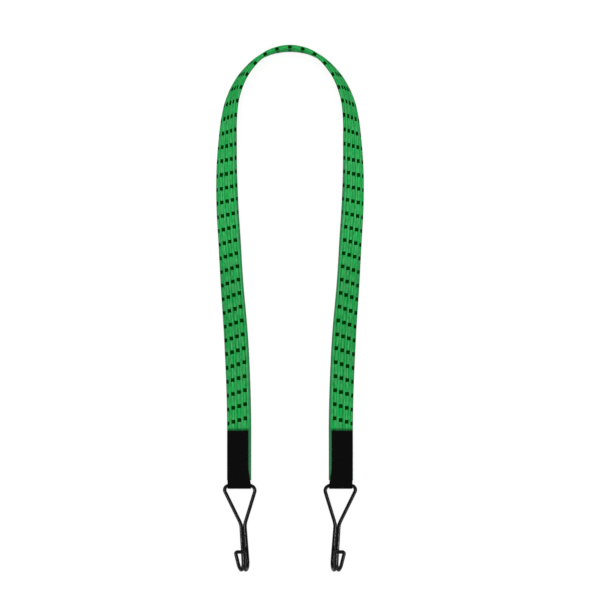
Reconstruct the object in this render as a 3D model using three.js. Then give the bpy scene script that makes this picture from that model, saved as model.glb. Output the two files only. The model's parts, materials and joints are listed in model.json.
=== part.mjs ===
// Flat bungee cord, laid on a table in an arch: a woven elastic strap with a sewn webbing tab
// and a bent wire hook at each end. Millimetres, +Z up, the table at z = 0, the bend towards +Y
// and the hooks towards -Y. The left and right halves mirror each other in the plane x = 0.
import * as THREE from "three";

// Elastic strap: a flat woven tube round one layer of rubber strands
const STRAP_WIDTH = 20;
const STRAP_THICKNESS = 4;
const JACKET_WALL = 0.8;
const STRAND_GAP = 0.35;
const CLEARANCE = 0.3;

// The strap stands on its outer edge at the bend and rolls down to lie flat along this length
const ROLL_LENGTH = 235;
const ROLL_EASE = 0.78;
// The tube spreads as it lies down, from this far round the bend, to the width that is sewn in
const SPREAD_START = 215;
const SPREAD_RUN = 90;
const SEWN_WIDTH = 21.5;
// Its free leg climbs to the tab's middle along this length, and is level again shortly before the tab
const RAMP_LENGTH = 28;
const RAMP_LEAD = 6;

// Right half of the strap's centreline seen from above, from the bend's middle to the sewn end
const HALF_ROUTE = [
  [0, 230.4], [8.6, 229.6], [17.2, 227.3], [25.9, 222.8], [34.8, 214.6], [43.5, 202.8], [50.8, 185.5],
  [54, 167.9], [55.2, 150.1], [55.9, 132.1], [56.1, 114.3], [55.4, 87.7], [53.8, 61.1], [51.5, 21.1],
  [48.4, -18.9], [46.3, -58.9], [45.2, -98.9], [45.2, -125.6], [45.2, -152.2],
];

// End tab: a strip of webbing folded round the hook's bar, with the elastic's end between its layers
const TAB_WIDTH = 18.8;
const FOLD_WIDTH = 20.8;
const TAB_THICKNESS = 1.2;
const TAB_OVERLAP = 44;
const TAB_SHIFT = 1.4;
const TAB_SHIFT_RUN = 10;
const BAR_TO_STRAP = 4.8;
const HOOK_SHIFT = 0.2;

// Wire hook, measured along the wire's centreline from the middle of its bar
const WIRE_DIAMETER = 3.2;
const BUTT_GAP = 0.6;
const CORNER_REACH = 4.95;
const CORNER_RUN = 6.1;
const TRIANGLE_HEIGHT = 34.5;
const NECK_GAP = 0.1;
const NECK_RUN = 3.3;
const HOOK_LENGTH = 73.9;
const HEEL_GAP = 0.9;
const TOE_GAP = 0.4;
const THROAT_OPENING = 10;
const TIP_RETURN = 16.9;
const TIP_WIDTH = 7.5;
const TIP_RUN = 1.9;
const HEEL_REST_GAP = 0.05;
// How far the neck, heel, toe and tip stand towards the strap's inner side
const NECK_SIDE = 3.15;
const HEEL_SIDE = 5.8;
const TOE_SIDE = 2.8;
const TIP_SIDE = 0.6;

// Fineness of the facets
const STRAP_STEPS = 64;
const FLAT_STEPS = 6;
const EDGE_STEPS = 4;
const STRAND_SIDES = 5;
const WIRE_SIDES = 10;
const BEND_STEP = Math.PI / 9;
const FOLD_STEPS = 10;

const WIRE_RADIUS = WIRE_DIAMETER / 2;
const BAR_POCKET = WIRE_RADIUS + CLEARANCE;
const STRAP_POCKET = STRAP_THICKNESS / 2 + CLEARANCE;
const TAB_HEIGHT = Math.max(BAR_POCKET, STRAP_POCKET) + TAB_THICKNESS;

const green = new THREE.MeshStandardMaterial({ color: 0x28aa50, roughness: 0.8, metalness: 0 });
const rubber = new THREE.MeshStandardMaterial({ color: 0xcdb98a, roughness: 0.6, metalness: 0 });
const webbing = new THREE.MeshStandardMaterial({ color: 0x121112, roughness: 0.9, metalness: 0 });
const blackWire = new THREE.MeshStandardMaterial({ color: 0x0c0c0d, roughness: 0.35, metalness: 0.4 });

function smooth(share) {
  const t = THREE.MathUtils.clamp(share, 0, 1);
  return t * t * (3 - 2 * t);
}

// Closed solid through rings of points: one ring for each step, and a second set for a bore
function loft(outerRings, boreRings) {
  const positions = [];
  const quad = (a, b, c, d) => positions.push(a, b, c, a, c, d);
  const skin = (rings, flip) => {
    for (let i = 0; i + 1 < rings.length; i++) {
      const sides = rings[i].length;
      for (let k = 0; k < sides; k++) {
        const next = (k + 1) % sides;
        const corners = [rings[i][k], rings[i][next], rings[i + 1][next], rings[i + 1][k]];
        quad(...(flip ? corners.reverse() : corners));
      }
    }
  };
  const cap = (outer, bore, flip) => {
    const middle = outer.reduce((sum, p) => sum.add(p), new THREE.Vector3()).divideScalar(outer.length);
    for (let k = 0; k < outer.length; k++) {
      const next = (k + 1) % outer.length;
      if (bore) {
        const corners = [outer[next], outer[k], bore[k], bore[next]];
        quad(...(flip ? corners.reverse() : corners));
      } else {
        positions.push(...(flip ? [outer[k], outer[next], middle] : [outer[next], outer[k], middle]));
      }
    }
  };
  const last = outerRings.length - 1;
  skin(outerRings, false);
  cap(outerRings[0], boreRings?.[0], false);
  cap(outerRings[last], boreRings?.[last], true);
  if (boreRings) skin(boreRings, true);
  const geometry = new THREE.BufferGeometry();
  geometry.setAttribute("position", new THREE.Float32BufferAttribute(positions.flatMap((p) => p.toArray()), 3));
  geometry.computeVertexNormals();
  return geometry;
}

// Centreline of the whole strap as seen from above, left end to right end
const leftRoute = HALF_ROUTE.slice(1).reverse().map(([x, y]) => new THREE.Vector3(-x, y, 0));
const rightRoute = HALF_ROUTE.map(([x, y]) => new THREE.Vector3(x, y, 0));
const plan = new THREE.CatmullRomCurve3([...leftRoute, ...rightRoute]);
plan.arcLengthDivisions = 2000;
const planLength = plan.getLength();
const strapEnd = HALF_ROUTE.at(-1);
const barY = strapEnd[1] - BAR_TO_STRAP;

// Middle of the strap and the directions across and through it, at a share of its length
function strapFrame(share) {
  const point = plan.getPointAt(share);
  const along = plan.getTangentAt(share);
  const fromBend = Math.abs(share - 0.5) * planLength;
  const toEnd = planLength / 2 - fromBend;
  const rolled = Math.min(fromBend / ROLL_LENGTH, 1) ** ROLL_EASE;
  const roll = (Math.PI / 4) * (1 + Math.cos(Math.PI * rolled));
  const climb = smooth((TAB_OVERLAP + RAMP_LEAD + RAMP_LENGTH - toEnd) / RAMP_LENGTH);
  point.z = ((STRAP_WIDTH - STRAP_THICKNESS) / 2) * Math.sin(roll) + STRAP_THICKNESS / 2;
  point.z += climb * (TAB_HEIGHT - STRAP_THICKNESS / 2);
  const inward = new THREE.Vector3(along.y, -along.x, 0);
  const across = inward.multiplyScalar(Math.cos(roll)).setZ(Math.sin(roll)).normalize();
  const through = new THREE.Vector3().crossVectors(along, across);
  const spread = THREE.MathUtils.lerp(1, SEWN_WIDTH / STRAP_WIDTH, smooth((fromBend - SPREAD_START) / SPREAD_RUN));
  return { point, across: across.multiplyScalar(spread), through };
}

const strapFrames = Array.from({ length: STRAP_STEPS + 1 }, (_, i) => strapFrame(i / STRAP_STEPS));

function ringsAlongStrap(section) {
  return strapFrames.map(({ point, across, through }) =>
    section.map(([u, n]) => point.clone().addScaledVector(across, u).addScaledVector(through, n)),
  );
}

// Outline of a flat tube: straight faces and half-round edges
function flatOval(width, thickness) {
  const reach = (width - thickness) / 2;
  const points = [];
  for (const side of [1, -1]) {
    for (let k = 0; k < EDGE_STEPS; k++) {
      const turn = Math.PI * (k / EDGE_STEPS - 0.5);
      points.push([side * (reach + (Math.cos(turn) * thickness) / 2), (side * Math.sin(turn) * thickness) / 2]);
    }
    for (let k = 0; k < FLAT_STEPS; k++) {
      points.push([side * reach * (1 - (2 * k) / FLAT_STEPS), (side * thickness) / 2]);
    }
  }
  return points;
}

function jacket() {
  const outline = flatOval(STRAP_WIDTH, STRAP_THICKNESS);
  const bore = flatOval(STRAP_WIDTH - 2 * JACKET_WALL, STRAP_THICKNESS - 2 * JACKET_WALL);
  const mesh = new THREE.Mesh(loft(ringsAlongStrap(outline), ringsAlongStrap(bore)), green.clone());
  mesh.name = "elastic_jacket";
  return mesh;
}

function rubberStrands() {
  const boreThickness = STRAP_THICKNESS - 2 * JACKET_WALL;
  const diameter = boreThickness - 2 * CLEARANCE;
  const pitch = diameter + STRAND_GAP;
  const count = Math.floor((STRAP_WIDTH - STRAP_THICKNESS) / pitch) + 1;
  return Array.from({ length: count }, (_, i) => {
    const offset = (i - (count - 1) / 2) * pitch;
    const section = Array.from({ length: STRAND_SIDES }, (_, k) => {
      const turn = (2 * Math.PI * k) / STRAND_SIDES;
      return [offset + (Math.cos(turn) * diameter) / 2, (Math.sin(turn) * diameter) / 2];
    });
    const mesh = new THREE.Mesh(loft(ringsAlongStrap(section)), rubber.clone());
    mesh.name = `rubber_strand_${String(i + 1).padStart(2, "0")}`;
    return mesh;
  });
}

// Folded strip of webbing, swept from the end of its upper layer round the bar to the end of its lower
// layer. The bar spreads the fold and holds it a little towards the strap's inner side.
function tab(name) {
  const straight = [TAB_OVERLAP, TAB_SHIFT_RUN, 0].map((run) => BAR_TO_STRAP + run);
  const layer = (face) =>
    straight.map((y) => ({ inner: [y, face * STRAP_POCKET], outer: [y, face * (STRAP_POCKET + TAB_THICKNESS)] }));
  const fold = Array.from({ length: FOLD_STEPS + 1 }, (_, k) => {
    const turn = Math.PI * (0.5 + k / FOLD_STEPS);
    const spot = (radius) => [radius * Math.cos(turn), radius * Math.sin(turn)];
    return { inner: spot(BAR_POCKET), outer: spot(BAR_POCKET + TAB_THICKNESS) };
  });
  const place = (side, [y, z]) => {
    const share = THREE.MathUtils.clamp(y / (BAR_TO_STRAP + TAB_SHIFT_RUN), 0, 1);
    const width = THREE.MathUtils.lerp(FOLD_WIDTH, TAB_WIDTH, share);
    return new THREE.Vector3((side * width) / 2 + share * TAB_SHIFT, y, z);
  };
  const rings = [...layer(1), ...fold, ...layer(-1).reverse()].map(({ inner, outer }) => [
    place(1, outer), place(-1, outer), place(-1, inner), place(1, inner),
  ]);
  const mesh = new THREE.Mesh(loft(rings), webbing.clone());
  mesh.name = name;
  return mesh;
}

// Corner points of the hook's wire: the bar's right half, its triangle, shank, J and tip, and back
function hookCorners() {
  const heelDepth = THROAT_OPENING + WIRE_DIAMETER;
  const half = (side) => {
    const neck = (side * (WIRE_DIAMETER + NECK_GAP)) / 2 - NECK_SIDE;
    const heel = (side * (WIRE_DIAMETER + HEEL_GAP)) / 2 - HEEL_SIDE;
    const toe = (side * (WIRE_DIAMETER + TOE_GAP)) / 2 - TOE_SIDE;
    return [
      { at: [(side * BUTT_GAP) / 2, 0, 0], run: 0 },
      { at: [side * (FOLD_WIDTH / 2 + CORNER_REACH), 0, 0], run: CORNER_RUN },
      { at: [neck, -TRIANGLE_HEIGHT, 0], run: NECK_RUN },
      { at: [heel, -HOOK_LENGTH, 0], run: heelDepth / 2 },
      { at: [toe, -HOOK_LENGTH, heelDepth], run: heelDepth / 2 },
      { at: [(side * TIP_WIDTH) / 2 - TIP_SIDE, TIP_RETURN - HOOK_LENGTH, heelDepth], run: TIP_RUN },
    ];
  };
  return [...half(1), ...half(-1).reverse()].map(({ at, run }) => ({ at: new THREE.Vector3(...at), run }));
}

// Centreline of a bent wire: straight runs with a round bend that starts and ends a run from each corner
function bentWire(corners) {
  const points = [];
  corners.forEach(({ at, run }, i) => {
    if (run === 0) {
      points.push(at.clone());
      return;
    }
    const back = corners[i - 1].at.clone().sub(at).normalize();
    const ahead = corners[i + 1].at.clone().sub(at).normalize();
    const turn = Math.PI - back.angleTo(ahead);
    const radius = run / Math.tan(turn / 2);
    const toCentre = back.clone().add(ahead).normalize();
    const centre = at.clone().addScaledVector(toCentre, Math.hypot(run, radius));
    const spoke = at.clone().addScaledVector(back, run).sub(centre);
    const axis = new THREE.Vector3().crossVectors(ahead, back).normalize();
    const steps = Math.ceil(turn / BEND_STEP);
    for (let k = 0; k <= steps; k++) {
      points.push(spoke.clone().applyAxisAngle(axis, (turn * k) / steps).add(centre));
    }
  });
  return points;
}

// Round wire along a line of points, its section carried from point to point without twisting
function wire(points, diameter) {
  const directions = points.map((_, i) => {
    const before = points[Math.max(i - 1, 0)];
    const after = points[Math.min(i + 1, points.length - 1)];
    return after.clone().sub(before).normalize();
  });
  const side = new THREE.Vector3(0, 0, 1);
  const rings = points.map((p, i) => {
    side.addScaledVector(directions[i], -side.dot(directions[i])).normalize();
    const other = new THREE.Vector3().crossVectors(directions[i], side);
    return Array.from({ length: WIRE_SIDES }, (_, k) => {
      const turn = (2 * Math.PI * k) / WIRE_SIDES;
      const spoke = side.clone().multiplyScalar(Math.cos(turn)).addScaledVector(other, Math.sin(turn));
      return p.clone().addScaledVector(spoke, diameter / 2);
    });
  });
  return loft(rings);
}

function hook(name) {
  const mesh = new THREE.Mesh(wire(bentWire(hookCorners()), WIRE_DIAMETER), blackWire.clone());
  mesh.name = name;
  // The bar is held above the table by the tab, so the hook lies tilted, its heel on the table
  const heelRun = HOOK_LENGTH - (THROAT_OPENING + WIRE_DIAMETER) / 2;
  mesh.rotation.x = Math.asin((TAB_HEIGHT - WIRE_RADIUS - HEEL_REST_GAP) / heelRun);
  return mesh;
}

// Tab and hook on the bar's centre, modelled for the right end and mirrored for the left
function endFittings(side) {
  const fittings = new THREE.Group();
  fittings.add(tab(`${side}_tab`), hook(`${side}_hook`));
  const mirror = side === "left" ? -1 : 1;
  fittings.position.set(mirror * (strapEnd[0] - HOOK_SHIFT), barY, TAB_HEIGHT);
  fittings.scale.x = mirror;
  return fittings;
}

const bungeeCord = new THREE.Group();
bungeeCord.add(jacket(), ...rubberStrands(), endFittings("left"), endFittings("right"));

export default bungeeCord;
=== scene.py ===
# Flat bungee cord laid in an arch on a white table: a woven elastic strap, and at each end a folded
# webbing tab and a bent wire hook. Metres, +Z up, the bend towards +Y and the hooks towards -Y.
import json
import math

import bpy
import numpy as np
from mathutils import Matrix, Vector

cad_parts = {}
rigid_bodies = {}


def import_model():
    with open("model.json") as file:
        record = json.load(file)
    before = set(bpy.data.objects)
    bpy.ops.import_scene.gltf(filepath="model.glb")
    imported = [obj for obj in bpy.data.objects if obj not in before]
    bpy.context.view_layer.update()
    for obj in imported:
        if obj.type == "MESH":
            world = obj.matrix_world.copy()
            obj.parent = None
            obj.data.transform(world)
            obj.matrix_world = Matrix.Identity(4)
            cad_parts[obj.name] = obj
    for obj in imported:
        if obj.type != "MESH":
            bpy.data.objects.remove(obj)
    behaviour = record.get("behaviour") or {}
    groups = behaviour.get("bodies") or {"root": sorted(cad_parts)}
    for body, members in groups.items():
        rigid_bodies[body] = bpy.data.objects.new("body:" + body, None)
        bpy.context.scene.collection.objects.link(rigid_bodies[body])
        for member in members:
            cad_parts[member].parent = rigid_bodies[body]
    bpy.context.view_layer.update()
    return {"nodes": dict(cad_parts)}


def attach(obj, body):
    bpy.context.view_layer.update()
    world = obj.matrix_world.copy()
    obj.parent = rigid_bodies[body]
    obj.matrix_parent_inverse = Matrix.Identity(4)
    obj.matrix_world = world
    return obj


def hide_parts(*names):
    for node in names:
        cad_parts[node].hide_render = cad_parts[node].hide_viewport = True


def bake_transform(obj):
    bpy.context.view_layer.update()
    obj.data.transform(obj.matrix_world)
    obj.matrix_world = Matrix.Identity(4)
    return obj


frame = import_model()


# Camera: straight above the table, and far enough off that the bend, which stands on its edge, shows
# its top and only a sliver of its inner face. The picture takes in 534 mm of the table.
CAMERA_AT = (0.00887, 0.0078, 1.6)
TABLE_IN_VIEW = 0.534
SENSOR_WIDTH = 36


def added(name, data):
    """New object in the scene."""
    made = bpy.data.objects.new(name, data)
    bpy.context.scene.collection.objects.link(made)
    return made


camera = added("camera", bpy.data.cameras.new("camera"))
camera.data.sensor_width = SENSOR_WIDTH
camera.data.lens = SENSOR_WIDTH * CAMERA_AT[2] / TABLE_IN_VIEW
camera.location = CAMERA_AT
bpy.context.scene.camera = camera


# Elastic strap: a flat tube woven of green polyester over rubber strands, one length from tab to tab.
# It stands on its outer edge round the bend and lies flat along the legs. It is made as two halves,
# because each half stretches towards its own tab, and they also stand for the strands inside.
ENDS = (("left", -1), ("right", 1))
STRANDS = [name for name in frame["nodes"] if name.startswith("rubber_strand")]
STRAP_WIDTH = 0.020
STRAP_THICKNESS = 0.004
RIBS_ROUND = 45
POINTS_PER_RIB = 4
RIB_DEPTH = 0.00016
RIB_ROUNDNESS = 0.6
RING_STEP = 0.0012
POINTS_PER_SPAN = 60
ROLL_LENGTH = 0.235
ROLL_EASE = 0.78
SPREAD_START = 0.215
SPREAD_RUN = 0.09
SEWN_WIDTH = 0.0215
SEWN_HEIGHT = 0.0035
TAB_OVERLAP = 0.044
RAMP_LENGTH = 0.028
RAMP_LEAD = 0.006
HALF_ROUTE = 0.001 * np.array([
    (0, 230.4), (8.6, 229.6), (17.2, 227.3), (25.9, 222.8), (34.8, 214.6), (43.5, 202.8), (50.8, 185.5),
    (54, 167.9), (55.2, 150.1), (55.9, 132.1), (56.1, 114.3), (55.4, 87.7), (53.8, 61.1), (51.5, 21.1),
    (48.4, -18.9), (46.3, -58.9), (45.2, -98.9), (45.2, -125.6), (45.2, -152.2),
])
SLIP_PLACES = 0.001 * np.array([45, 72, 100, 130, 150, 200, 225, 300, 325, 370])
SLIPS = 0.001 * np.array([-0.8, -0.4, 0, 0, 0.36, 0.36, -0.25, -0.25, 0.25, 0.5])
ROW_LEAD = 0.01227
ROWS_SEEN = np.array([0, 2, 4, 8, 12, 16, 20, 24, 28, 32, 36])
ROWS_AT = 0.001 * np.array([0, 23.1, 47.9, 99.8, 148.7, 196.6, 244.2, 293.3, 342.8, 392.3, 441.6])
SHARP_ANGLE = math.radians(60)
STRIP_MARGIN = 0.03
STRIP_BOTTOM = 0.01
STRIP_TOP = 0.93
STRIP_OVERRUN = 1.02
CAP_PLACES = ((0.03, 0.97), (0.09, 0.97))
CAP_SIZE = 0.02


def smooth_line(corners):
    """Dense points on a centripetal Catmull-Rom curve through the corners."""
    ends = np.vstack([2 * corners[0] - corners[1], corners, 2 * corners[-1] - corners[-2]])
    t = np.linspace(0, 1, POINTS_PER_SPAN, endpoint=False)[:, None]
    spans = []
    for before, start, stop, after in zip(ends, ends[1:], ends[2:], ends[3:]):
        lead = math.dist(before, start) ** 0.5
        gap = math.dist(start, stop) ** 0.5
        tail = math.dist(stop, after) ** 0.5
        middle = (stop - start) / gap
        leaving = gap * ((start - before) / lead - (stop - before) / (lead + gap) + middle)
        arriving = gap * (middle - (after - start) / (gap + tail) + (after - stop) / tail)
        spans.append(
            (2 * t**3 - 3 * t**2 + 1) * start + (t**3 - 2 * t**2 + t) * leaving
            + (3 * t**2 - 2 * t**3) * stop + (t**3 - t**2) * arriving
        )
    return np.vstack([*spans, corners[-1:]])


def distances(line):
    """Distance along a line up to each of its points."""
    return np.append(0, np.cumsum(np.linalg.norm(np.diff(line, axis=0), axis=1)))


def evenly_spaced(line, step):
    """Distances about a step apart along a line, and the points there."""
    travelled = distances(line)
    places = np.linspace(0, travelled[-1], round(travelled[-1] / step) + 1)
    return places, np.stack([np.interp(places, travelled, line[:, axis]) for axis in (0, 1)], 1)


def girth(ring):
    """Length of a closed ring of points."""
    return np.linalg.norm(ring - np.roll(ring, 1, 0), axis=1).sum()


def unit(rows):
    """Rows of the same direction, each of length 1."""
    return rows / np.linalg.norm(rows, axis=1, keepdims=True)


def eased(share):
    """Share from 0 to 1 that starts and ends gently."""
    share = np.clip(share, 0, 1)
    return share * share * (3 - 2 * share)


def strap_sections(slips):
    """Outlines of the ribbed flat tube, as offsets across and through it, from near its inner edge round.
    Each starts a slip away from that edge, because the tube turns a little round its core."""
    radius = STRAP_THICKNESS / 2
    reach = STRAP_WIDTH / 2 - radius
    quarter = math.pi * radius / 2
    half = 2 * quarter + 2 * reach
    point = np.arange(RIBS_ROUND * POINTS_PER_RIB)
    travelled = (2 * half * point / len(point) + slips[:, None]) % (2 * half)
    side = np.where(travelled < half, 1, -1)
    travelled = travelled % half
    near_turn = np.clip(travelled, 0, quarter)
    far_turn = np.clip(travelled - quarter - 2 * reach, 0, quarter)
    turn = (near_turn + far_turn) / radius
    middle = reach - np.clip(travelled - quarter, 0, 2 * reach)
    groove = RIB_DEPTH * (1 - abs(np.sin(math.pi * point / POINTS_PER_RIB)) ** RIB_ROUNDNESS)
    outer = radius - groove
    return np.stack([side * (middle + outer * np.cos(turn)), -side * outer * np.sin(turn)], 2)


def skinned(name, rings, strips, woven=None, flip=False):
    """Closed mesh through rings of points. Its map "weave" goes once round, and along in the same measure,
    by the length of cloth woven up to each ring. Its map "OFBake" lays the skin out flat, in strips side
    by side, with the end caps in a corner."""
    steps, sides = len(rings) - 1, rings.shape[1]
    step, side = (grid.ravel() for grid in np.meshgrid(range(steps), range(sides), indexing="ij"))
    corner_steps = np.stack([step, step, step + 1, step + 1], 1)
    corner_sides = np.stack([side, side + 1, side + 1, side], 1)
    along = distances(rings.mean(1))
    perimeter = girth(rings[0])
    woven = along if woven is None else woven
    weave = np.stack([corner_sides / sides, woven[corner_steps] / perimeter], 2)
    strip = np.minimum(step * strips // steps, strips - 1)[:, None]
    up_strip = (along[corner_steps] * strips / along[-1] - strip) / STRIP_OVERRUN
    flat = np.stack([
        (strip + STRIP_MARGIN + (1 - 2 * STRIP_MARGIN) * corner_sides / sides) / strips,
        STRIP_BOTTOM + (STRIP_TOP - STRIP_BOTTOM) * up_strip,
    ], 2)
    faces = corner_steps * sides + corner_sides % sides
    caps = [np.arange(sides)[::-1], steps * sides + np.arange(sides)]
    share = np.arange(sides) / sides
    circle = np.stack([np.cos(2 * math.pi * share), np.sin(2 * math.pi * share)], 1)
    cap_flats = [np.array(place) + CAP_SIZE * circle for place in CAP_PLACES]
    cap_weaves = [np.stack([share, np.full(sides, end / perimeter)], 1) for end in woven[[0, -1]]]
    if flip:
        faces, weave, flat = faces[:, ::-1], weave[:, ::-1], flat[:, ::-1]
        caps = [cap[::-1] for cap in caps]
    mesh = bpy.data.meshes.new(name)
    mesh.from_pydata(rings.reshape(-1, 3).tolist(), [], [*faces.tolist(), *(cap.tolist() for cap in caps)])
    for map_name, side_map, cap_map in (("weave", weave, cap_weaves), ("OFBake", flat, cap_flats)):
        layer = mesh.uv_layers.new(name=map_name)
        layer.uv.foreach_set("vector", np.vstack([side_map.reshape(-1, 2), *cap_map]).ravel())
    mesh.uv_layers.active = mesh.uv_layers["weave"]
    mesh.uv_layers["weave"].active_render = True
    mesh.shade_smooth()
    mesh.set_sharp_from_angle(angle=SHARP_ANGLE)
    return added(name, mesh)


dense_route = smooth_line(np.vstack([HALF_ROUTE[:0:-1] * (-1, 1), HALF_ROUTE]))
from_bend, plan = evenly_spaced(dense_route[len(dense_route) // 2:], RING_STEP)
half_length = from_bend[-1]
plan[0, 0] = 0
heading = np.gradient(plan, from_bend, axis=0)
heading[0] = (1, 0)
heading = unit(heading)
roll = math.pi / 4 * (1 + np.cos(math.pi * np.minimum(from_bend / ROLL_LENGTH, 1) ** ROLL_EASE))
climb = eased((TAB_OVERLAP + RAMP_LEAD + RAMP_LENGTH - half_length + from_bend) / RAMP_LENGTH)
height = (STRAP_WIDTH - STRAP_THICKNESS) / 2 * np.sin(roll) + STRAP_THICKNESS / 2
height += climb * (SEWN_HEIGHT - STRAP_THICKNESS / 2)
middles = np.column_stack([plan, height])
ahead = np.column_stack([heading, np.zeros_like(height)])
across = np.stack([np.cos(roll) * heading[:, 1], -np.cos(roll) * heading[:, 0], np.sin(roll)], 1)
through = np.cross(ahead, across)
sections = strap_sections(np.interp(from_bend, SLIP_PLACES, SLIPS))
spread = 1 + (SEWN_WIDTH / STRAP_WIDTH - 1) * eased((from_bend - SPREAD_START) / SPREAD_RUN)
sections[..., 0] *= spread[:, None]
right_rings = middles[:, None] + across[:, None] * sections[..., :1] + through[:, None] * sections[..., 1:]
woven = np.interp(from_bend, ROWS_AT, ROW_LEAD * ROWS_SEEN)

straps = []
for end, mirror in ENDS:
    strap = skinned(f"{end}_strap", right_rings * (mirror, 1, 1), strips=3, woven=woven, flip=mirror == 1)
    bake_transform(strap)
    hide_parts("elastic_jacket", *STRANDS)
    straps.append(strap)


def node(tree, kind, inputs=(), **settings):
    """New node, with its inputs set to values or linked to other nodes' sockets."""
    made = tree.nodes.new(kind)
    for key, value in settings.items():
        setattr(made, key, value)
    for key, value in dict(inputs).items():
        if isinstance(value, bpy.types.NodeSocket):
            tree.links.new(value, made.inputs[key])
        else:
            made.inputs[key].default_value = value
    return made


def calc(tree, operation, *terms):
    """Output of a Math node on values or sockets."""
    return node(tree, "ShaderNodeMath", enumerate(terms), operation=operation).outputs[0]


def ramp(tree, value, start, stop, low=0, high=1):
    """Value that goes from low at the start to high at the stop, and is level beyond them."""
    return node(tree, "ShaderNodeMapRange", {
        "Value": value, "From Min": start, "From Max": stop, "To Min": low, "To Max": high,
    }).outputs["Result"]


def mixed(tree, share, first, second, blend="MIX"):
    """Colour made from two colours, with a share of the second."""
    return node(tree, "ShaderNodeMix", {
        "Factor": share, "A": first, "B": second,
    }, data_type="RGBA", blend_type=blend).outputs["Result"]


def noise(tree, place, scale, detail):
    """Soft noise from 0 to 1."""
    return node(tree, "ShaderNodeTexNoise", {
        "Vector": place, "Scale": scale, "Detail": detail,
    }).outputs["Fac"]


def blank_material(name):
    """Empty node material and its tree."""
    material = bpy.data.materials.new(name)
    material.use_nodes = True
    material.node_tree.nodes.clear()
    return material, material.node_tree


def finish_material(tree, colour, roughness, shine, relief, relief_strength, relief_depth):
    """Plain shader of a colour, a roughness and a shine, with fine relief, set as the material's surface."""
    bump = node(tree, "ShaderNodeBump", {
        "Height": relief, "Strength": relief_strength, "Distance": relief_depth,
    })
    shader = node(tree, "ShaderNodeBsdfPrincipled", {
        "Base Color": colour, "Roughness": roughness, "Specular IOR Level": shine,
        "Normal": bump.outputs["Normal"],
    })
    node(tree, "ShaderNodeOutputMaterial", {"Surface": shader.outputs["BSDF"]})


def cloth_places(tree):
    """The map "weave" of a piece of cloth, and its two measures: round the cloth and along it."""
    weave_map = node(tree, "ShaderNodeUVMap", uv_map="weave").outputs["UV"]
    split = node(tree, "ShaderNodeSeparateXYZ", {"Vector": weave_map}).outputs
    return weave_map, split["X"], split["Y"]


def woven_threads():
    """Node group for cloth: the height of lengthwise threads, crossed over and under by weft threads, and
    a number for each lengthwise thread."""
    crimp = 0.4
    group = bpy.data.node_groups.new("woven_threads", "ShaderNodeTree")
    for socket in ("Across", "Along", "Weft"):
        group.interface.new_socket(socket, in_out="INPUT", socket_type="NodeSocketFloat")
    for socket in ("Height", "Thread"):
        group.interface.new_socket(socket, in_out="OUTPUT", socket_type="NodeSocketFloat")
    given = node(group, "NodeGroupInput").outputs
    thread = calc(group, "FLOOR", given["Across"])
    pick = calc(group, "FLOOR", given["Along"])
    warp_round, weft_round = (
        calc(group, "SINE", calc(group, "MULTIPLY", calc(group, "FRACT", given[way]), math.pi))
        for way in ("Across", "Along")
    )
    over = calc(group, "FLOORED_MODULO", calc(group, "ADD", thread, pick), 2)
    under = calc(group, "SUBTRACT", 1, over)
    warp_wave = calc(group, "MULTIPLY_ADD", calc(group, "MULTIPLY", weft_round, over), crimp, 1 - crimp)
    warp_height = calc(group, "MULTIPLY", warp_round, warp_wave)
    weft_height = calc(group, "MULTIPLY", calc(group, "MULTIPLY", weft_round, under), given["Weft"])
    thread_number = node(group, "ShaderNodeTexWhiteNoise", {"W": thread}, noise_dimensions="1D")
    node(group, "NodeGroupOutput", {
        "Height": calc(group, "MAXIMUM", warp_height, weft_height),
        "Thread": thread_number.outputs["Value"],
    })
    return group


TICK_COLUMNS = 9
RIBS_TO_TICK = 0.5
TICK_HALF_WIDTH = 0.325
TICK_HALF_HEIGHT = 0.14
TICK_SIDE_SOFTNESS = 0.02
TICK_END_SOFTNESS = 0.012
YARN_ENDS = 90
YARN_END_SHIFT = 0.03
MID_FACE = 0.25
SLANT_RUN = 0.075
ROLLING_FROM = 0.075
ROLLING_TO = 0.12
ROLLING_SLANT = 0.66
LYING_FROM = 0.185
LYING_TO = 0.225
LYING_SLANT = 1.08
INNER_TICKS_FADE = 0.165
INNER_TICKS_END = 0.2
TICK_BLACK_GREEN = (0.0, 0.027, 0.001, 1)
PICK_PITCH = 0.0008
STRAP_WEFT = 0.35
FLECKS = (45, 8, 1)
DYE_STREAKS = (45, 3, 1)
TINT_SHIFT = (3.7, 1.3, 0)
NOISE_LOW = 0.36
NOISE_HIGH = 0.64
THREAD_SHARE = 0.35
FLECK_SHARE = 0.4
LEAST_TONE = 0.125
GREEN_DEEP = (0.001, 0.19, 0.027, 1)
GREEN_LIGHT = (0.056, 0.52, 0.138, 1)
TINT_DEEP = (0.2, 1, 0.72, 1)
TINT_PALE = (1.85, 1, 1.3, 1)
# Painted shade in the grooves and painted sheen on the broad ribs, darkening down the lower legs, and the
# painted shadow of the tab at its mouth.
GROOVE_HEIGHT = 0.5
GROOVE_SHADE = 0.72
RIBS_PER_COLUMN = 2
RIB_LEAD = 0.07
RIB_SHEEN = 0.14
SPREAD_SHADE = 0.875
SPREAD_SHADE_FROM = 0.19
SPREAD_SHADE_RUN = 0.045
RAMP_SHADE = 0.93
RAMP_SHADE_FROM = 0.305
RAMP_SHADE_RUN = 0.04
MOUTH_SHADE = 0.2
MOUTH_SHADE_RUN = 0.003
HALF_ROUND = 0.5
# Painted shade on the strap's rounded edges: each band's place round the strap, half width and depth, its
# darker green, where it begins, and the painted shadow of the tab on the sewn-in length.
INNER_EDGE_SHADE = (0, 0.075, 0.85)
OUTER_EDGE_SHADE = (HALF_ROUND, 0.06, 0.6)
EDGE_SHADE_GREEN = (0.04, 0.22, 0.088, 1)
EDGE_SHADE_FROM = 0.08
EDGE_SHADE_RUN = 0.08
SEWN_SHADOW = 0.8

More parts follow.
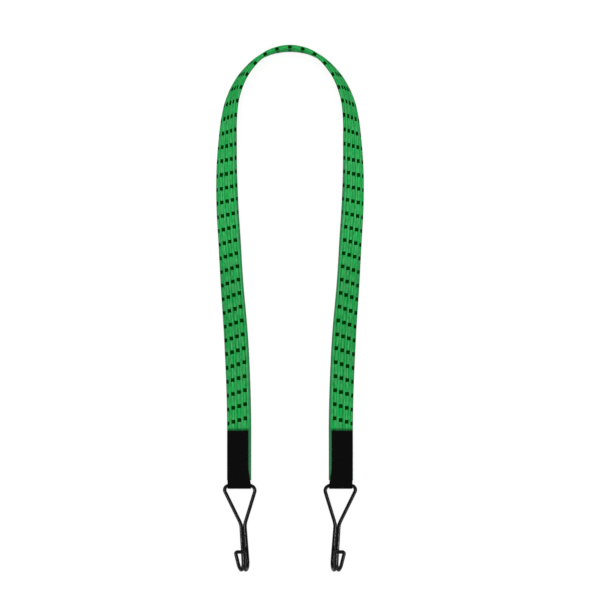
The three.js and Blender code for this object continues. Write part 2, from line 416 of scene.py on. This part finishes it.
weave_group = woven_threads()
strap_perimeter = girth(right_rings[0])
mouth_woven = float(np.interp(half_length - TAB_OVERLAP, from_bend, woven))
woven_green, tree = blank_material("woven_green")
weave_map, round_strap, along_strap = cloth_places(tree)
woven_length = calc(tree, "MULTIPLY", along_strap, strap_perimeter)

# The dark ticks stand in columns along the strap. Their rows slant round it, straighten at the bend and
# slant less where the strap rolls over. The column on the inner edge ends half way down each leg.
column = calc(tree, "MULTIPLY_ADD", round_strap, TICK_COLUMNS, -RIBS_TO_TICK * TICK_COLUMNS / RIBS_ROUND)
nearest = calc(tree, "ROUND", column)
off_column = calc(tree, "ABSOLUTE", calc(tree, "SUBTRACT", column, nearest))
starting = ramp(tree, woven_length, 0, SLANT_RUN)
rolling_slant = ramp(tree, woven_length, ROLLING_FROM, ROLLING_TO, 1, ROLLING_SLANT)
slant = ramp(tree, woven_length, LYING_FROM, LYING_TO, rolling_slant, LYING_SLANT)
past_half = calc(tree, "GREATER_THAN", nearest, TICK_COLUMNS / 2)
turns_round = calc(tree, "SUBTRACT", calc(tree, "DIVIDE", nearest, TICK_COLUMNS), past_half)
row_lag = calc(tree, "MULTIPLY_ADD", calc(tree, "SUBTRACT", turns_round, MID_FACE), slant, MID_FACE)
row = calc(tree, "DIVIDE", woven_length, ROW_LEAD)
row = calc(tree, "SUBTRACT", row, calc(tree, "MULTIPLY", row_lag, starting))
off_row = calc(tree, "ABSOLUTE", calc(tree, "SUBTRACT", row, calc(tree, "ROUND", row)))
yarn_ends = calc(tree, "SUBTRACT", noise(tree, weave_map, YARN_ENDS, 1), 0.5)
off_row = calc(tree, "MULTIPLY_ADD", yarn_ends, YARN_END_SHIFT, off_row)
in_width = ramp(
    tree, off_column, TICK_HALF_WIDTH + TICK_SIDE_SOFTNESS, TICK_HALF_WIDTH - TICK_SIDE_SOFTNESS
)
in_height = ramp(tree, off_row, TICK_HALF_HEIGHT + TICK_END_SOFTNESS, TICK_HALF_HEIGHT - TICK_END_SOFTNESS)
off_outer_edge = calc(tree, "ABSOLUTE", calc(tree, "SUBTRACT", nearest, TICK_COLUMNS / 2))
inner_column = calc(tree, "GREATER_THAN", off_outer_edge, TICK_COLUMNS / 2 - 0.5)
inner_fade = ramp(tree, woven_length, INNER_TICKS_FADE, INNER_TICKS_END)
in_sight = calc(tree, "SUBTRACT", 1, calc(tree, "MULTIPLY", inner_column, inner_fade))
tick = calc(tree, "MULTIPLY", calc(tree, "MULTIPLY", in_width, in_height), in_sight)

# The green yarn varies from thread to thread, has flecks along it, and took its dye in long streaks.
threads = node(tree, "ShaderNodeGroup", {
    "Across": calc(tree, "MULTIPLY", round_strap, RIBS_ROUND),
    "Along": calc(tree, "MULTIPLY", along_strap, strap_perimeter / PICK_PITCH),
    "Weft": STRAP_WEFT,
}, node_tree=weave_group).outputs
fleck_map = node(tree, "ShaderNodeMapping", {"Vector": weave_map, "Scale": FLECKS}).outputs["Vector"]
fleck = ramp(tree, noise(tree, fleck_map, 1, 2), NOISE_LOW, NOISE_HIGH)
fleck_tone = calc(tree, "MULTIPLY_ADD", fleck, FLECK_SHARE, LEAST_TONE)
tone = calc(tree, "MULTIPLY_ADD", threads["Thread"], THREAD_SHARE, fleck_tone)
dye_map = node(tree, "ShaderNodeMapping", {
    "Vector": weave_map, "Location": TINT_SHIFT, "Scale": DYE_STREAKS,
}).outputs["Vector"]
dye = ramp(tree, noise(tree, dye_map, 1, 2), NOISE_LOW, NOISE_HIGH)
tint = mixed(tree, dye, TINT_DEEP, TINT_PALE)
green = mixed(tree, 1, mixed(tree, tone, GREEN_DEEP, GREEN_LIGHT), tint, "MULTIPLY")

# Painted shade: the colour is darker in the grooves between threads, and a painted sheen makes the broad
# ribs lighter and darker in turn. It is darker down the lower legs, a little lighter again just before the
# tab, and a painted shadow of the tab darkens it at the tab's mouth.
groove_shade = ramp(tree, threads["Height"], 0, GROOVE_HEIGHT, GROOVE_SHADE, 1)
from_rib = calc(tree, "SUBTRACT", column, RIB_LEAD)
rib_wave = calc(tree, "COSINE", calc(tree, "MULTIPLY", from_rib, 2 * math.pi * RIBS_PER_COLUMN))
rib_shade = calc(tree, "MULTIPLY", groove_shade, calc(tree, "MULTIPLY_ADD", rib_wave, RIB_SHEEN, 1))
spread_end = SPREAD_SHADE_FROM + SPREAD_SHADE_RUN
spread_shade = ramp(tree, woven_length, SPREAD_SHADE_FROM, spread_end, 1, SPREAD_SHADE)
ramp_end = RAMP_SHADE_FROM + RAMP_SHADE_RUN
leg_shade = ramp(tree, woven_length, RAMP_SHADE_FROM, ramp_end, spread_shade, RAMP_SHADE)
mouth_shade = ramp(tree, woven_length, mouth_woven - MOUTH_SHADE_RUN, mouth_woven, 1, MOUTH_SHADE)
shade = calc(tree, "MULTIPLY", rib_shade, calc(tree, "MULTIPLY", leg_shade, mouth_shade))
shaded = mixed(tree, 1, green, shade, "MULTIPLY")

# Painted shade: both rounded edges are darker once the strap begins to lie down, and the sewn-in length
# beside the tab is darker too, as a painted shadow of the tab.
edge_shade = 0
for place, half_band, depth in (INNER_EDGE_SHADE, OUTER_EDGE_SHADE):
    off_edge = calc(tree, "PINGPONG", calc(tree, "SUBTRACT", round_strap, place), HALF_ROUND)
    edge_shade = calc(tree, "ADD", edge_shade, ramp(tree, off_edge, half_band, half_band / 2, 0, depth))
edge_shade = calc(tree, "MULTIPLY", edge_shade, ramp(tree, woven_length, EDGE_SHADE_FROM, EDGE_SHADE_FROM + EDGE_SHADE_RUN))
sewn_in = calc(tree, "GREATER_THAN", woven_length, mouth_woven)
edge_shade = calc(tree, "MAXIMUM", edge_shade, calc(tree, "MULTIPLY", sewn_in, SEWN_SHADOW))
ticked = mixed(tree, tick, mixed(tree, edge_shade, shaded, EDGE_SHADE_GREEN), TICK_BLACK_GREEN)
finish_material(
    tree, ticked, roughness=0.9, shine=0,
    relief=threads["Height"], relief_strength=0.5, relief_depth=0.00012,
)
for strap in straps:
    strap.data.materials.append(woven_green)


# End tabs: a strip of black polypropylene webbing folded round the hook's bar, its two layers sewn
# together with the elastic's end between them. The fold sits nearer the strap's inner side.
TAB_WIDTH = 0.0188
FOLD_WIDTH = 0.0208
TAB_THICKNESS = 0.0012
TAB_SHIFT = 0.0014
TAB_SHIFT_RUN = 0.010
BAR_TO_STRAP = 0.0048
BAR_AT = Vector((0.045, -0.157, SEWN_HEIGHT))
BAR_POCKET = 0.0019
STRAP_POCKET = 0.0023
TAB_RING_STEP = 0.0006
TAB_RIBS = 14
TAB_RIB_DEPTH = 0.00007
FOLD_POINTS = 40
FOLD_SOFTENINGS = 4
SELVEDGE_STEPS = 5
FACE_STEPS = 56
SEAM_INSET = 0.0026
SEAM_BOTTOM = 0.0085
SEAM_TOP = 0.0460
SEAM_DIP = 0.00022
SEAM_DIP_WIDTH = 0.0011
SEAM_HALF_WIDTH = TAB_WIDTH / 2 - SEAM_INSET
SEAM_ROWS = [
    ((-SEAM_HALF_WIDTH, SEAM_BOTTOM), (-SEAM_HALF_WIDTH, SEAM_TOP)),
    ((SEAM_HALF_WIDTH, SEAM_BOTTOM), (SEAM_HALF_WIDTH, SEAM_TOP)),
    ((-SEAM_HALF_WIDTH, SEAM_BOTTOM), (SEAM_HALF_WIDTH, SEAM_BOTTOM)),
    ((-SEAM_HALF_WIDTH, SEAM_TOP), (SEAM_HALF_WIDTH, SEAM_TOP)),
]
BLACK_YARN = (0.0025, 0.0024, 0.0026, 1)
# A lighter black, for the painted highlight on the webbing's raised threads.
BLACK_YARN_HIGHLIGHT = (0.0070, 0.0066, 0.0070, 1)
WEBBING_THREADS = 2 * TAB_RIBS + 3
WEBBING_PICK = 0.0011
WEBBING_WEFT = 0.85
FUZZ = 60


def fold_line():
    """Middle of the folded strip in side view: along the top layer, round the bar and back below."""
    bar_radius = BAR_POCKET + TAB_THICKNESS / 2
    strap_gap = STRAP_POCKET + TAB_THICKNESS / 2
    end = BAR_TO_STRAP + TAB_OVERLAP
    turns = np.linspace(math.pi / 2, 3 * math.pi / 2, FOLD_POINTS)
    fold = np.column_stack([bar_radius * np.cos(turns), bar_radius * np.sin(turns)])
    top_layer = [(end, strap_gap), (BAR_TO_STRAP, strap_gap)]
    lower_layer = [(BAR_TO_STRAP, -strap_gap), (end, -strap_gap)]
    line = evenly_spaced(np.vstack([top_layer, fold, lower_layer]), TAB_RING_STEP)[1]
    for _ in range(FOLD_SOFTENINGS):
        line[1:-1] = (line[:-2] + 2 * line[1:-1] + line[2:]) / 4
    return line


def webbing_section():
    """Outline of the ribbed strip, as offsets across it and out from the fold, anticlockwise."""
    radius = TAB_THICKNESS / 2
    reach = TAB_WIDTH / 2 - radius
    outline = []
    for side in (1, -1):
        for k in range(SELVEDGE_STEPS):
            turn = math.pi * (k / SELVEDGE_STEPS - 0.5)
            outline.append((side * (reach + radius * math.cos(turn)), side * radius * math.sin(turn)))
        for k in range(FACE_STEPS):
            share = k / FACE_STEPS
            groove = TAB_RIB_DEPTH * (1 - abs(math.sin(math.pi * TAB_RIBS * share)) ** RIB_ROUNDNESS)
            outline.append((side * reach * (1 - 2 * share), side * (radius - groove)))
    return np.array(outline)


def seam_dip(across, along):
    """How far the thread draws the webbing in, at places on the sewn layers."""
    nearest = np.full(np.broadcast(across, along).shape, np.inf)
    for (x0, y0), (x1, y1) in SEAM_ROWS:
        dx = across - np.clip(across, x0, x1)
        dy = along - np.clip(along, y0, y1)
        nearest = np.minimum(nearest, np.hypot(dx, dy))
    return SEAM_DIP * np.exp(-((nearest / SEAM_DIP_WIDTH) ** 2))


def tab_place(across, along, out, mirror):
    """Points of a tab in the frame, from places across it, along it from the bar, and above the bar."""
    share = np.clip(along / (BAR_TO_STRAP + TAB_SHIFT_RUN), 0, 1)
    spread = 1 + (FOLD_WIDTH / TAB_WIDTH - 1) * (1 - share)
    sideways = BAR_AT.x + across * spread + TAB_SHIFT * share
    return np.stack(np.broadcast_arrays(mirror * sideways, BAR_AT.y + along, BAR_AT.z + out), -1)


webbing_line = fold_line()
line_heading = unit(np.gradient(webbing_line, axis=0))
outward = np.column_stack([line_heading[:, 1], -line_heading[:, 0]])
strip = webbing_section()
rise = strip[None, :, 1] - seam_dip(strip[None, :, 0], webbing_line[:, :1]) * (strip[None, :, 1] > 0)
strip_along = webbing_line[:, :1] + outward[:, :1] * rise
strip_height = webbing_line[:, 1:] + outward[:, 1:] * rise

black_webbing, tree = blank_material("black_webbing")
weave_map, round_strip, along_strip = cloth_places(tree)
threads = node(tree, "ShaderNodeGroup", {
    "Across": calc(tree, "MULTIPLY", round_strip, WEBBING_THREADS),
    "Along": calc(tree, "MULTIPLY", along_strip, girth(strip) / WEBBING_PICK),
    "Weft": WEBBING_WEFT,
}, node_tree=weave_group).outputs
# Painted highlight: the raised threads are a lighter black, in patches, and the grooves between them stay
# darker as painted shade.
crown_highlight = calc(tree, "MULTIPLY", threads["Height"], noise(tree, weave_map, FUZZ, 4))
finish_material(
    tree, mixed(tree, crown_highlight, BLACK_YARN, BLACK_YARN_HIGHLIGHT), roughness=0.9, shine=0.03,
    relief=threads["Height"], relief_strength=0.6, relief_depth=0.00015,
)

for end, mirror in ENDS:
    rings = tab_place(strip[None, :, 0], strip_along, strip_height, mirror)
    tab = skinned(f"{end}_folded_tab", rings, strips=2, flip=mirror == -1)
    tab.data.materials.append(black_webbing)
    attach(tab, f"{end}_end")
    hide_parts(f"{end}_tab")


# Seams: lockstitch in black polyester thread, a closed box through both layers of each tab and the
# elastic between them. The stitches lie in the furrows that the thread draws into the webbing.
STITCH_LENGTH = 0.0026
STITCH_GAP = 0.0006
THREAD_THICKNESS = 0.0005
STEPS_PER_ROW = 24
THREAD_BLACK = (0.006, 0.006, 0.0065, 1)
FIBRES = 4000


def stitch_tree():
    """Geometry nodes that lay stitches end to end along rows of edges."""
    tree = bpy.data.node_groups.new("lockstitch", "GeometryNodeTree")
    tree.interface.new_socket("Rows", in_out="INPUT", socket_type="NodeSocketGeometry")
    for name in ("Stitch Length", "Stitch Gap", "Thread Thickness"):
        tree.interface.new_socket(name, in_out="INPUT", socket_type="NodeSocketFloat")
    tree.interface.new_socket("Thread", in_out="INPUT", socket_type="NodeSocketMaterial")
    tree.interface.new_socket("Stitches", in_out="OUTPUT", socket_type="NodeSocketGeometry")
    given = node(tree, "NodeGroupInput").outputs
    rows = node(tree, "GeometryNodeMeshToCurve", {"Mesh": given["Rows"]})
    pitch = calc(tree, "ADD", given["Stitch Length"], given["Stitch Gap"])
    spots = node(tree, "GeometryNodeCurveToPoints", {
        "Curve": rows.outputs["Curve"], "Length": pitch,
    }, mode="LENGTH")
    bead = node(tree, "GeometryNodeMeshUVSphere", {"Segments": 8, "Rings": 6, "Radius": 0.5})
    stretch = node(tree, "ShaderNodeCombineXYZ", {
        "X": given["Thread Thickness"], "Y": given["Thread Thickness"], "Z": given["Stitch Length"],
    })
    stitch = node(tree, "GeometryNodeTransform", {
        "Geometry": bead.outputs["Mesh"], "Scale": stretch.outputs["Vector"],
    })
    rounded = node(tree, "GeometryNodeSetShadeSmooth", {"Geometry": stitch.outputs["Geometry"]})
    sewn = node(tree, "GeometryNodeInstanceOnPoints", {
        "Points": spots.outputs["Points"], "Instance": rounded.outputs["Geometry"],
        "Rotation": spots.outputs["Rotation"],
    })
    real = node(tree, "GeometryNodeRealizeInstances", {"Geometry": sewn.outputs["Instances"]})
    dressed = node(tree, "GeometryNodeSetMaterial", {
        "Geometry": real.outputs["Geometry"], "Material": given["Thread"],
    })
    node(tree, "NodeGroupOutput", {"Stitches": dressed.outputs["Geometry"]})
    return tree


black_thread, tree = blank_material("black_thread")
fibre = noise(tree, node(tree, "ShaderNodeTexCoord").outputs["Object"], FIBRES, 2)
finish_material(
    tree, mixed(tree, fibre, BLACK_YARN, THREAD_BLACK), roughness=0.6, shine=0.08,
    relief=fibre, relief_strength=0.4, relief_depth=0.00005,
)

lockstitch = stitch_tree()
stitch_values = {
    "Stitch Length": STITCH_LENGTH, "Stitch Gap": STITCH_GAP, "Thread Thickness": THREAD_THICKNESS,
    "Thread": black_thread,
}
for end, mirror in ENDS:
    corners, edges = [], []
    for face in (1, -1):
        height = face * (STRAP_POCKET + TAB_THICKNESS - SEAM_DIP)
        for start, stop in SEAM_ROWS:
            for k in range(STEPS_PER_ROW + 1):
                spot = np.array(start) + (np.array(stop) - start) * k / STEPS_PER_ROW
                corners.append(tab_place(spot[0], spot[1], height, mirror).tolist())
                if k:
                    edges.append((len(corners) - 2, len(corners) - 1))
    mesh = bpy.data.meshes.new(f"{end}_seam_rows")
    mesh.from_pydata(corners, edges, [])
    seam = added(f"{end}_seam", mesh)
    sewing = seam.modifiers.new("sewing", "NODES")
    sewing.node_group = lockstitch
    for socket in lockstitch.interface.items_tree:
        if socket.name in stitch_values:
            sewing[socket.identifier] = stitch_values[socket.name]
    graph = bpy.context.evaluated_depsgraph_get()
    seam_mesh = bpy.data.meshes.new_from_object(seam.evaluated_get(graph), depsgraph=graph)
    seam.modifiers.remove(sewing)
    seam.data = seam_mesh
    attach(seam, f"{end}_end")


# Wire hooks: each is one 3.2 mm steel wire with black paint, bent to a triangle that carries the tab,
# a doubled shank and a doubled J with a closed tip. The wire's two ends meet inside the tab's fold.
WIRE_DIAMETER = 0.0032
WIRE_SIDES = 20
BEND_STEP = math.radians(6)
BUTT_GAP = 0.0006
CORNER_REACH = 0.00495
CORNER_RUN = 0.0061
TRIANGLE_HEIGHT = 0.0345
NECK_GAP = 0.0001
NECK_RUN = 0.0033
HOOK_LENGTH = 0.0739
HEEL_GAP = 0.0009
TOE_GAP = 0.0004
THROAT_OPENING = 0.010
TIP_RETURN = 0.0169
TIP_WIDTH = 0.0075
TIP_RUN = 0.0019
HEEL_REST_GAP = 0.00005
NECK_SIDE = 0.00315
HEEL_SIDE = 0.0058
TOE_SIDE = 0.0028
TIP_SIDE = 0.0006
END_ROUNDING = 0.0004
END_WIDTHS = (0.72, 0.93)
PAINT_BLACK = (0.002, 0.002, 0.0021, 1)
PAINT_GREY = (0.006, 0.006, 0.0062, 1)
PAINT_PEEL = 900
SMUDGES = 160
SMUDGE_LOW = 0.3
SMUDGE_HIGH = 0.7
SMOOTH_PAINT = 0.28
ROUGH_PAINT = 0.38


def hook_corners():
    """Corner points of the wire from the middle of its bar, each with the run of its bend."""
    depth = THROAT_OPENING + WIRE_DIAMETER
    halves = []
    for side in (1, -1):
        neck = side * (WIRE_DIAMETER + NECK_GAP) / 2 - NECK_SIDE
        heel = side * (WIRE_DIAMETER + HEEL_GAP) / 2 - HEEL_SIDE
        toe = side * (WIRE_DIAMETER + TOE_GAP) / 2 - TOE_SIDE
        halves.append([
            (Vector((side * BUTT_GAP / 2, 0, 0)), 0),
            (Vector((side * (FOLD_WIDTH / 2 + CORNER_REACH), 0, 0)), CORNER_RUN),
            (Vector((neck, -TRIANGLE_HEIGHT, 0)), NECK_RUN),
            (Vector((heel, -HOOK_LENGTH, 0)), depth / 2),
            (Vector((toe, -HOOK_LENGTH, depth)), depth / 2),
            (Vector((side * TIP_WIDTH / 2 - TIP_SIDE, TIP_RETURN - HOOK_LENGTH, depth)), TIP_RUN),
        ])
    return halves[0] + halves[1][::-1]


def bent_wire(corners):
    """Points along the wire: straight runs, and round bends that start and end a run from each corner."""
    line = []
    for i, (at, run) in enumerate(corners):
        if not run:
            line.append(at)
            continue
        back = (corners[i - 1][0] - at).normalized()
        onward = (corners[i + 1][0] - at).normalized()
        turn = math.pi - back.angle(onward)
        radius = run / math.tan(turn / 2)
        centre = at + (back + onward).normalized() * math.hypot(run, radius)
        spoke = at + back * run - centre
        steps = math.ceil(turn / BEND_STEP)
        for k in range(steps + 1):
            line.append(centre + Matrix.Rotation(turn * k / steps, 3, onward.cross(back)) @ spoke)
    return line


def wire_rings(line):
    """Rings of a round wire along a line of points, with rounded ends and no twist."""
    first = (line[0] - line[1]).normalized() * END_ROUNDING
    last = (line[-1] - line[-2]).normalized() * END_ROUNDING
    first_end = [line[0], line[0] - first / 3, line[0] - first]
    last_end = [line[-1] - last, line[-1] - last / 3, line[-1]]
    line = [*first_end, *line[1:-1], *last_end]
    widths = [*END_WIDTHS, *[1] * (len(line) - 2 * len(END_WIDTHS)), *END_WIDTHS[::-1]]
    side = Vector((0, 0, 1))
    rings = []
    for i, (spot, width) in enumerate(zip(line, widths)):
        direction = (line[min(i + 1, len(line) - 1)] - line[max(i - 1, 0)]).normalized()
        side = (side - direction * side.dot(direction)).normalized()
        other = direction.cross(side)
        rings.append([
            spot + WIRE_DIAMETER / 2 * width * (math.cos(turn) * side + math.sin(turn) * other)
            for turn in np.arange(WIRE_SIDES) * 2 * math.pi / WIRE_SIDES
        ])
    return np.array(rings)


heel_run = HOOK_LENGTH - (THROAT_OPENING + WIRE_DIAMETER) / 2
tilt = Matrix.Rotation(math.asin((BAR_AT.z - WIRE_DIAMETER / 2 - HEEL_REST_GAP) / heel_run), 3, "X")
hook_line = [BAR_AT + tilt @ spot for spot in bent_wire(hook_corners())]
right_hook_rings = wire_rings(hook_line)

black_paint, tree = blank_material("black_paint")
place = node(tree, "ShaderNodeTexCoord").outputs["Object"]
smudge = noise(tree, place, SMUDGES, 4)
finish_material(
    tree, mixed(tree, smudge, PAINT_BLACK, PAINT_GREY), shine=0.12,
    roughness=ramp(tree, smudge, SMUDGE_LOW, SMUDGE_HIGH, SMOOTH_PAINT, ROUGH_PAINT),
    relief=noise(tree, place, PAINT_PEEL, 2), relief_strength=0.12, relief_depth=0.0001,
)

for end, mirror in ENDS:
    hook = skinned(f"{end}_wire_hook", right_hook_rings * (mirror, 1, 1), strips=6, flip=mirror == -1)
    hook.data.materials.append(black_paint)
    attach(hook, f"{end}_wire")
    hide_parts(f"{end}_hook")


# Table and light: a white table under a soft sky, with a wide lamp overhead, a weak one in front, a small
# one for each half of the cord and one for the sheen of each hook. The table shows white, keeps a faint
# shadow, and is dark only in slits too narrow for light to reach the bottom.
TABLE_SIZE = 8.0
TABLE_DROP = 0.0002
TABLE_GLOW = 0.87
TABLE_GREY = (0.8, 0.8, 0.8, 1)
TABLE_SHADOW = (0.19, 0.19, 0.19, 1)
SLIT_DEPTH = 0.0025
SLIT_DARK = 0.42
SLIT_OPEN = 0.56
WHITE = (1, 1, 1, 1)
SKY_LIGHT = 0.35
CEILING_FROM = 0.15
CEILING_TO = 0.5
CEILING = 0.1
# Each lamp has a name, a place, a size, a power, and the start of the names of the pieces it lights.
LAMPS = [
    ("overhead_lamp", (0, 0.25, 1.8), (1.6, 1.6), 16.4, ""),
    ("front_lamp", (0, -1.5, 0.9), (1.2, 0.6), 7.0, ""),
    ("left_lamp", (-0.9, 0.4, 1.5), (0.3, 0.15), 9.0, "left_"),
    ("right_lamp", (0.9, 0.4, 1.5), (0.3, 0.15), 9.0, "right_"),
    ("left_glint", (-1.1, -0.56, 1.3), (0.2, 0.2), 36.0, "left_wire_hook"),
    ("right_glint", (1.1, -0.56, 1.3), (0.2, 0.2), 36.0, "right_wire_hook"),
]


def seen_directly(tree):
    """1 for rays from the camera, or by gloss or glass, and 0 for the light that falls on the cord."""
    rays = node(tree, "ShaderNodeLightPath").outputs
    seen = calc(tree, "MAXIMUM", rays["Is Camera Ray"], rays["Is Glossy Ray"])
    return calc(tree, "MAXIMUM", seen, rays["Is Transmission Ray"])


reach = TABLE_SIZE / 2
table_corners = [(-reach, -reach), (reach, -reach), (reach, reach), (-reach, reach)]
table_mesh = bpy.data.meshes.new("table")
table_mesh.from_pydata([(x, y, -TABLE_DROP) for x, y in table_corners], [], [(0, 1, 2, 3)])
table = added("table", table_mesh)
white_table, tree = blank_material("white_table")
lit = node(tree, "ShaderNodeBsdfDiffuse", {"Color": TABLE_GREY})
openness = node(tree, "ShaderNodeAmbientOcclusion", {"Distance": SLIT_DEPTH}, samples=16).outputs["AO"]
glow = node(tree, "ShaderNodeEmission", {
    "Color": WHITE, "Strength": ramp(tree, openness, SLIT_DARK, SLIT_OPEN, 0, TABLE_GLOW),
})
faint = node(tree, "ShaderNodeBsdfDiffuse", {"Color": TABLE_SHADOW})
shown = node(tree, "ShaderNodeAddShader", {0: faint.outputs["BSDF"], 1: glow.outputs["Emission"]})
surface = node(tree, "ShaderNodeMixShader", {
    0: seen_directly(tree), 1: lit.outputs["BSDF"], 2: shown.outputs["Shader"],
})
node(tree, "ShaderNodeOutputMaterial", {"Surface": surface.outputs["Shader"]})
table_mesh.materials.append(white_table)

# The sky shows white near the horizon and dark overhead, and its light on the cord is even.
world = bpy.data.worlds.new("white_sky")
bpy.context.scene.world = world
world.use_nodes = True
world.node_tree.nodes.clear()
tree = world.node_tree
direction = node(tree, "ShaderNodeTexCoord").outputs["Generated"]
upward = node(tree, "ShaderNodeSeparateXYZ", {"Vector": direction}).outputs["Z"]
shown_sky = ramp(tree, upward, CEILING_FROM, CEILING_TO, 1, CEILING)
sky = node(tree, "ShaderNodeBackground", {
    "Color": WHITE, "Strength": ramp(tree, seen_directly(tree), 0, 1, SKY_LIGHT, shown_sky),
})
node(tree, "ShaderNodeOutputWorld", {"Surface": sky.outputs["Background"]})

for name, place, (length, depth), power, lit_part in LAMPS:
    lamp = added(name, bpy.data.lights.new(name, "AREA"))
    lamp.data.shape = "RECTANGLE"
    lamp.data.size = length
    lamp.data.size_y = depth
    lamp.data.energy = power
    lamp.location = place
    lamp.rotation_euler = (-Vector(place)).to_track_quat("-Z", "Y").to_euler()
    lamp.visible_glossy = lit_part.endswith("hook")
    if lit_part:
        lit_pieces = bpy.data.collections.new(f"lit_by_{name}")
        for piece in bpy.context.scene.objects:
            if piece.type == "MESH" and piece.name.startswith(lit_part):
                lit_pieces.objects.link(piece)
        lamp.light_linking.receiver_collection = lit_pieces

bpy.context.scene.view_settings.view_transform = "Standard"
